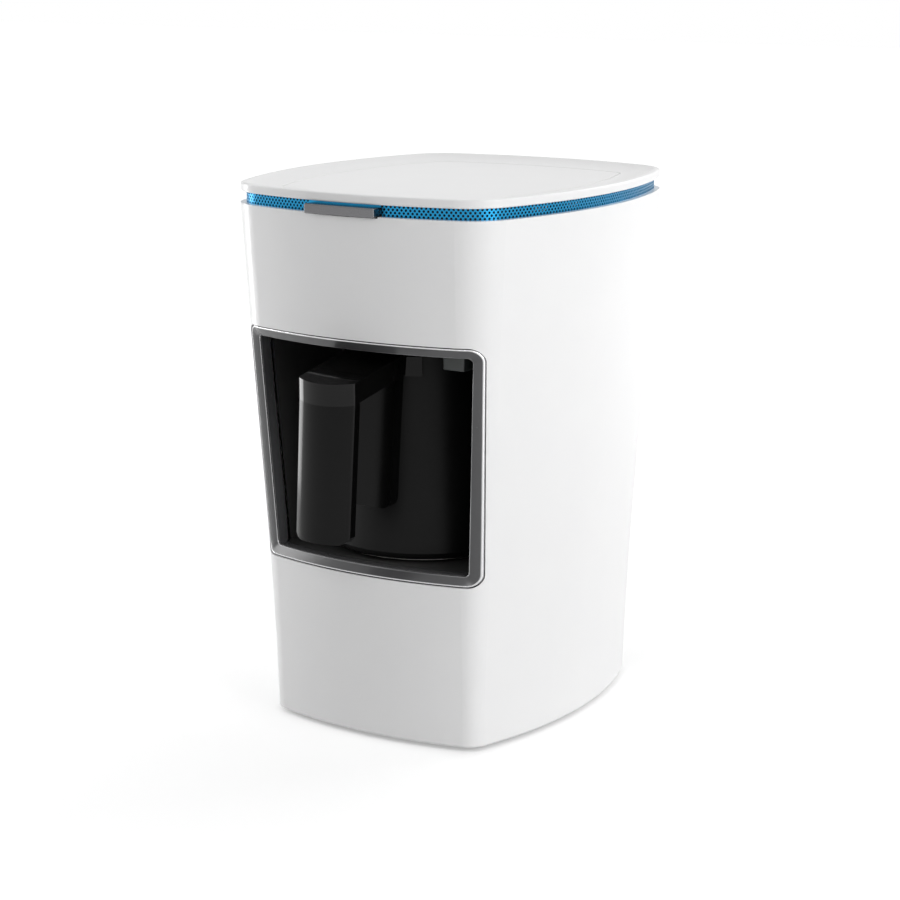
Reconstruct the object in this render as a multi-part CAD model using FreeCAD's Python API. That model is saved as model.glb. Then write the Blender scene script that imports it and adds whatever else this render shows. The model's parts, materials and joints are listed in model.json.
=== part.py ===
"""Electric coffee maker: a casing, a niche with a heating plate, a press bar and a pot with a handle.

Millimetres. +Z is up and -Y is the front. Shapes are made round the casing's upright middle line, and
are saved with the origin on the surface that the feet stand on, under the middle of the whole object.
"""
import FreeCAD, Part

import math
import os

from FreeCAD import Vector

# Casing plan at its top edge: four shallow arcs and four corner arcs
HALF_WIDTH = 87.3
HALF_DEPTH = 99.1
FRONT_RADIUS = 216.0
SIDE_RADIUS = 224.0
CORNER_RADIUS = 26.0
WALL = 2.6

# How far the plan is drawn in at each height, from the bottom edge to the top edge
PROFILE = [(2.0, 14.7), (45.0, 13.3), (100.0, 10.3), (150.0, 6.9), (200.0, 3.5), (257.2, 0.0)]
CASING_BOTTOM = PROFILE[0][0]
CASING_TOP = PROFILE[-1][0]
BOTTOM_ROUND = 1.5

# Vent band and lid
BAND_TOP = 262.7
BAND_INSET = 3.0
BAND_SHEET = 0.8
LID_TOP = 267.0
LID_INSET = 0.2
DISH = [(3.0, 267.0), (6.0, 265.9), (10.5, 264.95), (15.0, 264.45), (20.0, 264.3)]
GROOVE_DEPTH = 0.35
GROOVE_WIDTH = 0.6
DECK_THICK = 2.5
DECK_WIDTH = 22.0

# Niche frame: outer outline, inner outline and how deep its inner edge lies
FRAME_TOP = 198.1
FRAME_TOP_HALF = 66.9
FRAME_BOTTOM = 83.0
FRAME_BOTTOM_HALF = 62.15
FRAME_CORNER = 6.0
MOUTH_TOP = 193.1
MOUTH_TOP_HALF = 60.8
MOUTH_BOTTOM = 87.6
MOUTH_BOTTOM_HALF = 55.5
MOUTH_DEPTH = 3.2
FRAME_DEPTH = 9.0
FRAME_GAP = 0.5

# Niche liner: a U in plan, open at the front
NICHE_FLOOR = MOUTH_BOTTOM
NICHE_CEILING = 196.0
NICHE_BACK_Y = -28.0
LINER_CLEAR = 0.8
LINER_WALL = 2.4
FLANGE_FRONT = FRAME_DEPTH + 0.3
FLANGE_BACK = 11.8
FLANGE_LOW = 70.0
FLANGE_HIGH = 210.0

# Pot: a cone that stands on the plate
POT_Y = -28.0
POT_FLOOR = 88.3
POT_RIM = 190.0
POT_BASE_RADIUS = 49.0
POT_TAPER = 0.0885
POT_WALL = 1.4
SOLE_THICK = 0.9

# Pot handle: an arm, a grip and a bracket that together make an upturned U
ARM_HALF = 15.7
ARM_FRONT_Y = -117.0
ARM_FRONT_Z = 181.1
ARM_SLOPE = 0.1763
ARM_THICK = 10.3
ARM_FRONT_RADIUS = 27.0
COLLAR_LOW = 178.5
COLLAR_HIGH = 188.5
COLLAR_THICK = 3.4
COLLAR_SWEEP = 62.0
GRIP_BACK_Y = -107.5
GRIP_BOTTOM = 106.0
GRIP_FORWARD = 4.4
GRIP_FOOT_HALF = 15.1
GRIP_CORNER = 6.0
HANDLE_EDGE = 1.5
LEG_HALF = 13.0
LEG_BOTTOM = 115.0
LEG_CORNER = 5.0
LEG_STANDOFF = 4.6

# The handle stands out in front, so the middle of the whole object is in front of the casing's middle
ORIGIN_SHIFT = (GRIP_FORWARD - ARM_FRONT_Y - HALF_DEPTH) / 2

# Press bar and its carrier
BAR_HALF = 19.5
BAR_FRONT_Y = -101.1
BAR_BACK_Y = -95.2
BAR_LOW = 256.9
BAR_HIGH = 261.4
CARRIER_BACK_Y = -91.0
ROD_X = 12.0
ROD_Z = 259.5
ROD_RADIUS = 1.5
ROD_FIT = 0.08
ROD_END_Y = -78.4
GUIDE_FRONT_Y = -85.0
GUIDE_BACK_Y = -80.0
GUIDE_TOP = 262.0
SPRING_RADIUS = 1.95
SPRING_WIRE = 0.3
SPRING_TURNS = 5

# Heater
PLATE_RADIUS = 40.0
PLATE_TOP = 88.0
PLATE_UNDER = 82.2
FLANGE_RADIUS = 46.0
ELEMENT_RADIUS = 27.0
ELEMENT_TUBE = 3.4
ELEMENT_TAG_Z = 66.0
FUSE_RADIUS = 2.4
PROBE_SPRING_RADIUS = 3.6
PROBE_SPRING_WIRE = 0.4
PROBE_SPRING_LENGTH = 8.0
PROBE_SPRING_TURNS = 4
PROBE_SPRING_LOW = 71.2
SHIELD_Z = 62.0
SHIELD_RADIUS = 53.0
POST_RADIUS = 49.0

# Base, board and cord entry
BASE_LOW = 3.0
BASE_HIGH = 6.0
FOOT_RADIUS = 8.5
BOARD_Z = 16.0
BOARD_THICK = 1.6
CORD_Z = 20.0
CORD_BORE = 3.4
GLAND_RADIUS = 6.5
CORD_PLATE_HALF = 11.0
CORD_PLATE_ROUND = 3.0

UP = Vector(0, 0, 1)
ALONG_Y = Vector(0, 1, 0)

os.makedirs("parts", exist_ok=True)


def save(node, shape):
    """Moves one sub-part to the stored origin, writes it and prints its volume."""
    solids = [solid.translated(Vector(0, ORIGIN_SHIFT, 0)) for solid in shape.Solids]
    result = solids[0] if len(solids) == 1 else Part.makeCompound(solids)
    result.exportStep("parts/" + node + ".step")
    state = "valid" if result.isValid() else "INVALID"
    print(node, len(solids), "solid", round(result.Volume, 1), "mm3", state)


def unit(vector):
    """The same direction, one long."""
    return vector * (1.0 / vector.Length)


def block(x, y, z):
    """A box from three pairs of limits."""
    return Part.makeBox(x[1] - x[0], y[1] - y[0], z[1] - z[0], Vector(x[0], y[0], z[0]))


def post(x, y, z, radius):
    """An upright cylinder between two heights."""
    return Part.makeCylinder(radius, z[1] - z[0], Vector(x, y, z[0]), UP)


def pin(x, z, y, radius):
    """A cylinder that lies along Y between two places."""
    return Part.makeCylinder(radius, y[1] - y[0], Vector(x, y[0], z), ALONG_Y)


def ring(x, y, z, outer, inner):
    """An upright tube."""
    return post(x, y, z, outer).cut(post(x, y, z, inner))


def face_of(points):
    """A flat face with straight sides."""
    return Part.Face(Part.makePolygon(points + [points[0]]))


def turned(profile, x, y, sweep=360.0):
    """Turns (radius, height) points about an upright axis; a part turn is centred on the front."""
    start = math.radians(-90.0 - sweep / 2.0)
    if sweep == 360.0:
        start = 0.0
    across = Vector(math.cos(start), math.sin(start), 0)
    points = [Vector(x, y, 0) + across * radius + UP * height for radius, height in profile]
    return face_of(points).revolve(Vector(x, y, 0), UP, sweep)


def rounded_outline(corners, radius):
    """A wire through flat corners, each replaced by an arc."""
    edges = []
    count = len(corners)
    joins = []
    for index, corner in enumerate(corners):
        before = unit(corners[index - 1] - corner)
        after = unit(corners[(index + 1) % count] - corner)
        half = before.getAngle(after) / 2.0
        reach = radius / math.tan(half)
        centre = corner + unit(before + after) * (radius / math.sin(half))
        middle = centre + unit(corner - centre) * radius
        joins.append((corner + before * reach, middle, corner + after * reach))
    for index, (start, middle, end) in enumerate(joins):
        edges.append(Part.Arc(start, middle, end).toShape())
        edges.append(Part.LineSegment(end, joins[(index + 1) % count][0]).toShape())
    return Part.Wire(edges)


def front_prism(corners, radius, y):
    """A prism along Y whose outline is given in X and Z."""
    flat = [Vector(x, y[0], z) for x, z in corners]
    outline = rounded_outline(flat, radius) if radius else Part.makePolygon(flat + [flat[0]])
    return Part.Face(outline).extrude(Vector(0, y[1] - y[0], 0))


def side_prism(corners, half):
    """A prism across X whose outline is given in Y and Z."""
    return face_of([Vector(-half, y, z) for y, z in corners]).extrude(Vector(2 * half, 0, 0))


# Casing plan
FRONT_CENTRE = Vector(0, FRONT_RADIUS - HALF_DEPTH, 0)
SIDE_CENTRE = Vector(HALF_WIDTH - SIDE_RADIUS, 0, 0)


def corner_centre():
    """Centre of the front right corner arc, which touches the front arc and the side arc."""
    reach_front = FRONT_RADIUS - CORNER_RADIUS
    reach_side = SIDE_RADIUS - CORNER_RADIUS
    between = SIDE_CENTRE - FRONT_CENTRE
    span = between.Length
    along = (reach_front ** 2 - reach_side ** 2 + span ** 2) / (2 * span)
    across = math.sqrt(reach_front ** 2 - along ** 2)
    base = FRONT_CENTRE + unit(between) * along
    return base + Vector(-between.y, between.x, 0) * (across / span)


CORNER = corner_centre()


def plan(z, inset):
    """Closed plan wire of the casing at a height, drawn in by an inset."""
    at_front = FRONT_CENTRE + unit(CORNER - FRONT_CENTRE) * (FRONT_RADIUS - inset)
    at_side = SIDE_CENTRE + unit(CORNER - SIDE_CENTRE) * (SIDE_RADIUS - inset)
    bisector = unit(unit(at_front - CORNER) + unit(at_side - CORNER))
    bend = CORNER + bisector * (CORNER_RADIUS - inset)

    def place(point, x_sign, y_sign):
        return Vector(point.x * x_sign, point.y * y_sign, z)

    front = Vector(0, -HALF_DEPTH + inset, 0)
    side = Vector(HALF_WIDTH - inset, 0, 0)
    arcs = [
        (place(at_front, -1, 1), place(front, 1, 1), place(at_front, 1, 1)),
        (place(at_front, 1, 1), place(bend, 1, 1), place(at_side, 1, 1)),
        (place(at_side, 1, 1), place(side, 1, 1), place(at_side, 1, -1)),
        (place(at_side, 1, -1), place(bend, 1, -1), place(at_front, 1, -1)),
        (place(at_front, 1, -1), place(front, 1, -1), place(at_front, -1, -1)),
        (place(at_front, -1, -1), place(bend, -1, -1), place(at_side, -1, -1)),
        (place(at_side, -1, -1), place(side, -1, 1), place(at_side, -1, 1)),
        (place(at_side, -1, 1), place(bend, -1, 1), place(at_front, -1, 1)),
    ]
    return Part.Wire([Part.Arc(*arc).toShape() for arc in arcs])


def inset_at(z):
    """How far the casing's plan is drawn in at a height."""
    for (low, low_inset), (high, high_inset) in zip(PROFILE, PROFILE[1:]):
        if z <= high:
            return low_inset + (high_inset - low_inset) * (z - low) / (high - low)
    return PROFILE[-1][1]


def front_y(x, z, depth):
    """Y of the casing's front at a place across and up, at a depth below its surface."""
    inset = inset_at(z) + depth
    meets_corner = (CORNER - FRONT_CENTRE).x * (FRONT_RADIUS - inset) / (FRONT_RADIUS - CORNER_RADIUS)
    if abs(x) < meets_corner:
        return FRONT_CENTRE.y - math.sqrt((FRONT_RADIUS - inset) ** 2 - x * x)
    return CORNER.y - math.sqrt((CORNER_RADIUS - inset) ** 2 - (abs(x) - CORNER.x) ** 2)


def slab(z, inset):
    """An upright slab with the casing's plan."""
    return Part.Face(plan(z[0], inset)).extrude(Vector(0, 0, z[1] - z[0]))


def body_form(depth, low=CASING_BOTTOM, high=CASING_TOP):
    """The casing's outer form drawn in by a depth, between two heights."""
    levels = [low] + [z for z, _ in PROFILE if low < z < high] + [high]
    wires = [plan(z, inset_at(z) + depth) for z in levels]
    return Part.makeLoft(wires, True, False)


def outer_form():
    """The casing's outer form with its bottom edge rounded."""
    form = body_form(0.0)
    bottom = [edge for edge in form.Edges if edge.BoundBox.ZMax < CASING_BOTTOM + 0.01]
    return form.makeFillet(BOTTOM_ROUND, bottom)


OUTER = outer_form()
NICHE_LOW = 64.0
NICHE_HIGH = 216.0

FRAME_OUTLINE = [(-FRAME_BOTTOM_HALF, FRAME_BOTTOM), (FRAME_BOTTOM_HALF, FRAME_BOTTOM),
                 (FRAME_TOP_HALF, FRAME_TOP), (-FRAME_TOP_HALF, FRAME_TOP)]
MOUTH_OUTLINE = [(-MOUTH_BOTTOM_HALF, MOUTH_BOTTOM), (MOUTH_BOTTOM_HALF, MOUTH_BOTTOM),
                 (MOUTH_TOP_HALF, MOUTH_TOP), (-MOUTH_TOP_HALF, MOUTH_TOP)]
FRONT_REACH = (-120.0, -56.0)
LINER_SCREWS = [(-42.0, 204.0), (42.0, 204.0), (-38.0, 76.8), (38.0, 76.8)]
BASE_SCREW_X = CORNER.x
BASE_SCREW_Y = -CORNER.y
BASE_SCREWS = [(x, y) for x in (-BASE_SCREW_X, BASE_SCREW_X) for y in (-BASE_SCREW_Y, BASE_SCREW_Y)]
LID_SCREWS = [(x, y) for x in (-56.0, 56.0) for y in (-72.0, 72.0)]
GUIDE_SCREWS = [(-17.5, -82.5), (17.5, -82.5)]


def widened(outline, by):
    """A frame outline moved outwards on all sides."""
    return [(x + math.copysign(by, x), z + (by if z > 140 else -by)) for x, z in outline]


def make_casing():
    """White shell, open above and below, with bosses inside."""
    shell = OUTER.cut(body_form(WALL))
    bosses = []
    for x, y in BASE_SCREWS:
        outward = unit(Vector(x * 0.75, y, 0))
        boss = post(x, y, (BASE_HIGH + 0.2, 46), 4.6)
        rib = block((0, 13), (-1.3, 1.3), (BASE_HIGH + 0.2, 40))
        rib = rib.rotated(Vector(0, 0, 0), UP, math.degrees(math.atan2(outward.y, outward.x)))
        bosses.append(boss.fuse(rib.translated(Vector(x, y, 0))))
    for x, z in LINER_SCREWS:
        skin = front_y(x, z, 1.2)
        seat = front_y(x, z, FLANGE_FRONT)
        bosses.append(pin(x, z, (skin, seat), 3.6))
    inner_reach = body_form(0.9)
    liner_space = body_form(FLANGE_FRONT, NICHE_LOW, NICHE_HIGH)
    bosses = [boss.common(inner_reach).cut(liner_space) for boss in bosses]
    shell = shell.fuse(bosses)
    cuts = [front_prism(widened(FRAME_OUTLINE, FRAME_GAP), FRAME_CORNER + FRAME_GAP, FRONT_REACH)]
    cuts.append(bar_notch())
    cuts.append(cord_notch())
    cuts += [post(x, y, (0, 36), 1.6) for x, y in BASE_SCREWS]
    cuts += [pin(x, z, (front_y(x, z, WALL), -70), 1.3) for x, z in LINER_SCREWS]
    return shell.cut(cuts)


def bar_notch():
    """Room for the press bar in the top edge."""
    return block((-BAR_HALF - 0.4, BAR_HALF + 0.4), (-110, -88), (BAR_LOW - 0.4, CASING_TOP + 1))


def cord_notch():
    """Notch in the lower back edge, where the cord's plate sits."""
    low = CASING_BOTTOM - 2 * CORD_PLATE_ROUND
    high = CORD_Z + CORD_PLATE_HALF
    outline = [(-CORD_PLATE_HALF, low), (CORD_PLATE_HALF, low), (CORD_PLATE_HALF, high), (-CORD_PLATE_HALF, high)]
    return front_prism(outline, CORD_PLATE_ROUND, (70, 110))


def make_cord_plate():
    """Plate that fills the notch and holds the cord's bush."""
    skin = OUTER.cut(body_form(WALL))
    return skin.common(cord_notch()).cut(pin(0, CORD_Z, (60, 110), GLAND_RADIUS))


def make_deck():
    """Ledge inside the casing's top edge that carries the band, the lid and the bar's guide."""
    level = block((-120, 120), (-120, 120), (CASING_TOP - DECK_THICK, CASING_TOP))
    ledge = body_form(WALL).common(level).cut(slab((CASING_TOP - 5, CASING_TOP + 5), DECK_WIDTH))
    tongue = block((-24, 24), (-79, -60), (CASING_TOP - DECK_THICK, CASING_TOP))
    cuts = [bar_notch()]
    cuts += [post(x, y, (250, 260), 1.8) for x, y in LID_SCREWS]
    cuts += [post(x, y, (250, 260), 1.2) for x, y in GUIDE_SCREWS]
    return ledge.fuse(tongue).cut(cuts)


def make_base_plate():
    """Floor of the casing with air slots, foot pockets and posts for the board."""
    gap = WALL + 0.3
    plate = slab((BASE_LOW, BASE_HIGH), inset_at(BASE_LOW) + gap)
    slots = []
    for row in (-34, -22, -10):
        for column in (-36, -12, 12, 36):
            slots.append(block((column - 9, column + 9), (row - 1.6, row + 1.6), (0, 10)))
    pockets = [post(x, y, (BASE_LOW - 1, BASE_LOW + 1), FOOT_RADIUS) for x, y in foot_places()]
    holes = [post(x, y, (0, 10), 1.7) for x, y in BASE_SCREWS]
    sinks = [post(x, y, (0, BASE_LOW + 1.4), 3.4) for x, y in BASE_SCREWS]
    posts = [post(x, y, (BASE_HIGH - 0.5, BOARD_Z), 3.2) for x, y in board_corners()]
    pilots = [post(x, y, (BASE_HIGH + 2, BOARD_Z), 1.1) for x, y in board_corners()]
    return plate.fuse(posts).cut(slots + pockets + holes + sinks + pilots)


def foot_places():
    """Middles of the four feet."""
    return [(x, y) for x in (-35, 35) for y in (-62, 62)]


def board_corners():
    """Middles of the four posts that carry the board."""
    return [(x, y) for x in (-41, 41) for y in (4, 52)]


def make_feet():
    """Four soft feet."""
    feet = []
    for x, y in foot_places():
        wide = FOOT_RADIUS - 0.4
        top = BASE_LOW + 1
        profile = [(0, 0), (wide - 1, 0), (wide, 1), (wide, top), (0, top)]
        feet.append(turned(profile, x, y))
    return Part.makeCompound(feet)


def upright_screw(x, y, head_z, tip_z, shank, head):
    """A screw whose head is under its shank, or over it when the tip is lower."""
    step = 1.4 if tip_z > head_z else -1.4
    head_span = sorted((head_z, head_z + step))
    shank_span = sorted((head_z + step, tip_z))
    body = post(x, y, head_span, head).fuse(post(x, y, shank_span, shank))
    face = min(head_span) if step > 0 else max(head_span) - 0.7
    return body.cut(block((x - head, x + head), (y - 0.35, y + 0.35), (face, face + 0.7)))


def make_screws(places, head_z, tip_z, shank, head):
    """One group of equal upright screws."""
    return Part.makeCompound([upright_screw(x, y, head_z, tip_z, shank, head) for x, y in places])


def niche_half(z):
    """Half the niche's width at a height."""
    slope = (MOUTH_TOP_HALF - MOUTH_BOTTOM_HALF) / (MOUTH_TOP - MOUTH_BOTTOM)
    return MOUTH_BOTTOM_HALF + LINER_CLEAR + slope * (z - MOUTH_BOTTOM)


def niche_section(z, more):
    """The niche's U at a height, made larger on its sides and back."""
    half = niche_half(z) + more
    left = Vector(-half, NICHE_BACK_Y, z)
    right = Vector(half, NICHE_BACK_Y, z)
    left_front = Vector(-half, -105, z)
    right_front = Vector(half, -105, z)
    edges = [Part.LineSegment(left_front, left).toShape()]
    edges.append(Part.Arc(left, Vector(0, NICHE_BACK_Y + half, z), right).toShape())
    edges.append(Part.LineSegment(right, right_front).toShape())
    edges.append(Part.LineSegment(right_front, left_front).toShape())
    return Part.Wire(edges)


def make_liner():
    """Black tub behind the frame, with a flange that the frame and the casing meet."""
    cavity = Part.makeLoft([niche_section(NICHE_FLOOR, 0), niche_section(NICHE_CEILING, 0)], True, True)
    low = NICHE_FLOOR - LINER_WALL
    high = NICHE_CEILING + LINER_WALL
    tub = Part.makeLoft([niche_section(low, LINER_WALL), niche_section(high, LINER_WALL)], True, True)
    behind = body_form(FLANGE_FRONT, NICHE_LOW, NICHE_HIGH)
    deeper = body_form(FLANGE_BACK, NICHE_LOW, NICHE_HIGH)
    outline = [(-62, FLANGE_LOW), (62, FLANGE_LOW), (70, FLANGE_HIGH), (-70, FLANGE_HIGH)]
    flange = front_prism(outline, 8.0, FRONT_REACH).common(behind).cut(deeper)
    liner = tub.common(behind).fuse(flange).cut(cavity)
    hole = post(0, POT_Y, (low - 1, NICHE_FLOOR + 1), PLATE_RADIUS + 2)
    screw_holes = [pin(x, z, FRONT_REACH, 1.5) for x, z in LINER_SCREWS]
    return liner.cut([hole] + screw_holes)


def make_liner_screws():
    """Four screws that pull the liner's flange against the casing."""
    screws = []
    for x, z in LINER_SCREWS:
        seat = front_y(x, z, FLANGE_BACK) + 0.9
        tip = front_y(x, z, WALL) + 0.6
        screw = pin(x, z, (tip, seat), 1.3).fuse(pin(x, z, (seat, seat + 1.5), 2.8))
        screws.append(screw)
    return Part.makeCompound(screws)


def surface_plan(z, depth):
    """Plan wire of the casing's surface at a height, drawn in by a depth."""
    return plan(z, inset_at(z) + depth)


def make_frame():
    """Dark bezel of four mitred strips whose faces slope in to the mouth."""
    back = body_form(FRAME_DEPTH, NICHE_LOW, NICHE_HIGH)
    top_wires = [surface_plan(MOUTH_TOP, MOUTH_DEPTH), surface_plan(FRAME_TOP, 0)]
    low_wires = [surface_plan(FRAME_BOTTOM, 0), surface_plan(MOUTH_BOTTOM, MOUTH_DEPTH)]
    corners = list(zip(FRAME_OUTLINE, MOUTH_OUTLINE))
    (low_left, in_low_left), (low_right, in_low_right), (top_right, in_top_right), (top_left, in_top_left) = corners
    strips = []
    quad = [top_left, top_right, in_top_right, in_top_left]
    strips.append(Part.makeLoft(top_wires, True, True).common(front_prism(quad, 0, FRONT_REACH)))
    quad = [low_left, low_right, in_low_right, in_low_left]
    strips.append(Part.makeLoft(low_wires, True, True).common(front_prism(quad, 0, FRONT_REACH)))
    side = frame_side()
    strips.append(side)
    strips.append(side.mirror(Vector(0, 0, 0), Vector(1, 0, 0)))
    frame = strips[0].fuse(strips[1:]).common(OUTER)
    frame = frame.common(front_prism(FRAME_OUTLINE, FRAME_CORNER, FRONT_REACH))
    return frame.cut(back)


def frame_side():
    """Right strip of the frame: a flat face from the outer edge to the mouth's edge."""
    sections = []
    for z in (FRAME_BOTTOM, FRAME_TOP):
        share = (z - FRAME_BOTTOM) / (FRAME_TOP - FRAME_BOTTOM)
        outer_x = FRAME_BOTTOM_HALF + share * (FRAME_TOP_HALF - FRAME_BOTTOM_HALF)
        inner_x = MOUTH_BOTTOM_HALF + share * (MOUTH_TOP_HALF - MOUTH_BOTTOM_HALF)
        outer = Vector(outer_x, front_y(outer_x, z, 0), z)
        inner = Vector(inner_x, front_y(inner_x, z, MOUTH_DEPTH), z)
        along = unit(outer - inner) * 3
        points = [outer + along, inner - along, inner - along + ALONG_Y * 30, outer + along + ALONG_Y * 30]
        sections.append(Part.makePolygon(points + [points[0]]))
    solid = Part.makeLoft(sections, True, True)
    quad = [FRAME_OUTLINE[1], FRAME_OUTLINE[2], MOUTH_OUTLINE[2], MOUTH_OUTLINE[1]]
    return solid.common(front_prism(quad, 0, FRONT_REACH))


def make_band():
    """Thin metal strip round the top, with a window for the press bar."""
    strip = slab((CASING_TOP, BAND_TOP), BAND_INSET).cut(slab((CASING_TOP, BAND_TOP), BAND_INSET + BAND_SHEET))
    window = block((-BAR_HALF - 0.6, BAR_HALF + 0.6), (-110, -85), (CASING_TOP - 1, BAR_HIGH + 0.4))
    return strip.cut(window)


def make_backing():
    """Dark ring behind the band, with air windows and a window for the press bar."""
    span = (CASING_TOP, BAND_TOP)
    body = slab(span, BAND_INSET + 1.6).cut(slab(span, BAND_INSET + 3.8))
    windows = [block((-BAR_HALF - 1, BAR_HALF + 1), (-110, -85), (CASING_TOP - 1, BAR_HIGH + 0.6))]
    for index in range(5):
        middle = -48 + 24 * index
        windows.append(block((-120, 120), (middle - 7, middle + 7), (CASING_TOP + 1.2, BAND_TOP - 1.2)))
    for middle in (-36, -12, 12, 36):
        windows.append(block((middle - 7, middle + 7), (60, 120), (CASING_TOP + 1.2, BAND_TOP - 1.2)))
    return body.cut(windows)


def make_lid():
    """White lid with a dished top, a locating skirt and four bosses."""
    plate = slab((BAND_TOP, LID_TOP), LID_INSET)
    rims = [edge for edge in plate.Edges if abs(edge.BoundBox.ZMin - edge.BoundBox.ZMax) < 0.01]
    plate = plate.makeFillet(0.9, rims)
    levels = [plan(z, inset) for inset, z in DISH]
    dish = Part.makeLoft(levels, True, False).fuse(slab((LID_TOP, LID_TOP + 3), DISH[0][0]))
    inner_inset, inner_z = DISH[-1]
    groove = slab((inner_z - GROOVE_DEPTH, inner_z + 0.5), inner_inset)
    groove = groove.cut(slab((inner_z - 1, inner_z + 1), inner_inset + GROOVE_WIDTH))
    skirt_span = (CASING_TOP + 0.6, BAND_TOP)
    skirt = slab(skirt_span, BAND_INSET + 4.2).cut(slab(skirt_span, BAND_INSET + 5.8))
    skirt = skirt.cut(block((-24, 24), (-110, -70), (CASING_TOP, BAND_TOP)))
    bosses = [post(x, y, (CASING_TOP, BAND_TOP), 4.0) for x, y in LID_SCREWS]
    pilots = [post(x, y, (CASING_TOP - 1, BAND_TOP - 0.6), 1.4) for x, y in LID_SCREWS]
    return plate.cut([dish, groove]).fuse([skirt] + bosses).cut(pilots)


def make_bar():
    """Brushed bar that the finger presses."""
    bar = block((-BAR_HALF, BAR_HALF), (BAR_FRONT_Y, BAR_BACK_Y), (BAR_LOW, BAR_HIGH))
    front = [edge for edge in bar.Edges if edge.BoundBox.YMax < BAR_BACK_Y - 0.1 or edge.BoundBox.YLength > 1]
    return bar.makeFillet(0.7, front)


def make_carrier():
    """Carrier behind the bar, with two guide rods and a plunger."""
    body = block((-17, 17), (BAR_BACK_Y, CARRIER_BACK_Y), (257.7, 261.1))
    rods = [pin(x, ROD_Z, (CARRIER_BACK_Y - 1, ROD_END_Y), ROD_RADIUS) for x in (-ROD_X, ROD_X)]
    plunger = pin(0, ROD_Z, (CARRIER_BACK_Y - 1, -81.2), 1.5)
    return body.fuse(rods + [plunger])


def make_clips():
    """Two clips that keep the rods in the guide."""
    clips = []
    for x in (-ROD_X, ROD_X):
        disc = pin(x, ROD_Z, (GUIDE_BACK_Y + 0.3, GUIDE_BACK_Y + 1.1), 2.1)
        clips.append(disc.cut(pin(x, ROD_Z, (-90, -70), ROD_RADIUS)))
    return Part.makeCompound(clips)


def make_guide():
    """Bracket on the deck that guides the two rods."""
    body = block((-21, 21), (GUIDE_FRONT_Y, GUIDE_BACK_Y), (CASING_TOP, GUIDE_TOP))
    bores = [pin(x, ROD_Z, (-90, -70), ROD_RADIUS + ROD_FIT) for x in (-ROD_X, ROD_X)]
    middle = block((-4, 4), (-90, -70), (CASING_TOP + 0.4, 261.4))
    holes = [post(x, y, (CASING_TOP - 1, 263), 1.2) for x, y in GUIDE_SCREWS]
    return body.cut(bores + [middle] + holes)


def make_guide_screws():
    """Two low-headed screws that hold the guide to the deck."""
    screws = []
    for x, y in GUIDE_SCREWS:
        head = post(x, y, (GUIDE_TOP, GUIDE_TOP + 0.6), 2.2)
        screws.append(head.fuse(post(x, y, (CASING_TOP - 2, GUIDE_TOP), 1.2)))
    return Part.makeCompound(screws)


def wound(radius, wire, length, turns):
    """Upright coil of quarter-turn arcs that starts at the origin's height."""
    rise = length / turns / (2 * math.pi)
    step = math.pi / 2

    def at(angle):
        return Vector(radius * math.cos(angle), radius * math.sin(angle), rise * angle)

    arcs = []
    for index in range(4 * turns):
        start = index * step
        arcs.append(Part.Arc(at(start), at(start + step / 2), at(start + step)).toShape())
    profile = Part.Wire([Part.Circle(at(0), Vector(0, radius, rise), wire).toShape()])
    return Part.Wire(arcs).makePipeShell([profile], True, False)


def make_spring(x):
    """Coil round one rod, between the carrier and the guide."""
    length = GUIDE_FRONT_Y - CARRIER_BACK_Y - 2 * SPRING_WIRE
    coil = wound(SPRING_RADIUS, SPRING_WIRE, length, SPRING_TURNS)
    coil = coil.rotated(Vector(0, 0, 0), Vector(1, 0, 0), -90)
    return coil.translated(Vector(x, CARRIER_BACK_Y + SPRING_WIRE, ROD_Z))


def make_switch():
    """Small press switch behind the plunger, with its leaf and three tags."""
    body = block((-9, 9), (-76.5, -67), (CASING_TOP, 262.2))
    leaf = block((-8, 7), (-78.6, -78.2), (258.2, 261.0))
    foot = block((5.4, 7), (-78.4, -76), (258.2, 261.0))
    tags = [block((x - 1.2, x + 1.2), (-67.5, -62), (259, 259.6)) for x in (-6, 0, 6)]
    return body.fuse([leaf, foot] + tags)


# Sensor in the niche's upper right
SENSOR_X = (42.0, 53.7)
SENSOR_Y = (-78.0, -52.0)
SENSOR_LOW = 185.6


def make_sensor_housing():
    """Dark nose under the niche's ceiling that watches the pot's mouth."""
    nose = block(SENSOR_X, SENSOR_Y, (SENSOR_LOW, NICHE_CEILING))
    under = [edge for edge in nose.Edges if edge.BoundBox.ZMax < SENSOR_LOW + 0.1 or edge.BoundBox.ZLength > 1]
    nose = nose.makeFillet(0.9, under)
    return nose.cut(sensor_pane())


def sensor_pane():
    """The pane's place in the nose's inner side."""
    return block((SENSOR_X[0] - 0.2, SENSOR_X[0] + 1.2), (-72, -60), (187.4, 192.4))


def make_heating_plate():
    """Stepped disc in the niche's floor, with a hole for the probe."""
    profile = [(4.2, PLATE_UNDER), (FLANGE_RADIUS, PLATE_UNDER), (FLANGE_RADIUS, 84.2), (PLATE_RADIUS, 84.2),
               (PLATE_RADIUS, PLATE_TOP - 0.5), (PLATE_RADIUS - 0.5, PLATE_TOP), (4.2, PLATE_TOP)]
    return turned(profile, 0, POT_Y)


def make_plate_seal():
    """Soft ring between the plate and the niche's floor."""
    profile = [(PLATE_RADIUS, 84.2), (FLANGE_RADIUS, 84.2), (FLANGE_RADIUS, NICHE_FLOOR - LINER_WALL),
               (PLATE_RADIUS + 2, NICHE_FLOOR - LINER_WALL), (PLATE_RADIUS + 2, 87.4), (PLATE_RADIUS, 87.4)]
    return turned(profile, 0, POT_Y)


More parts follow.
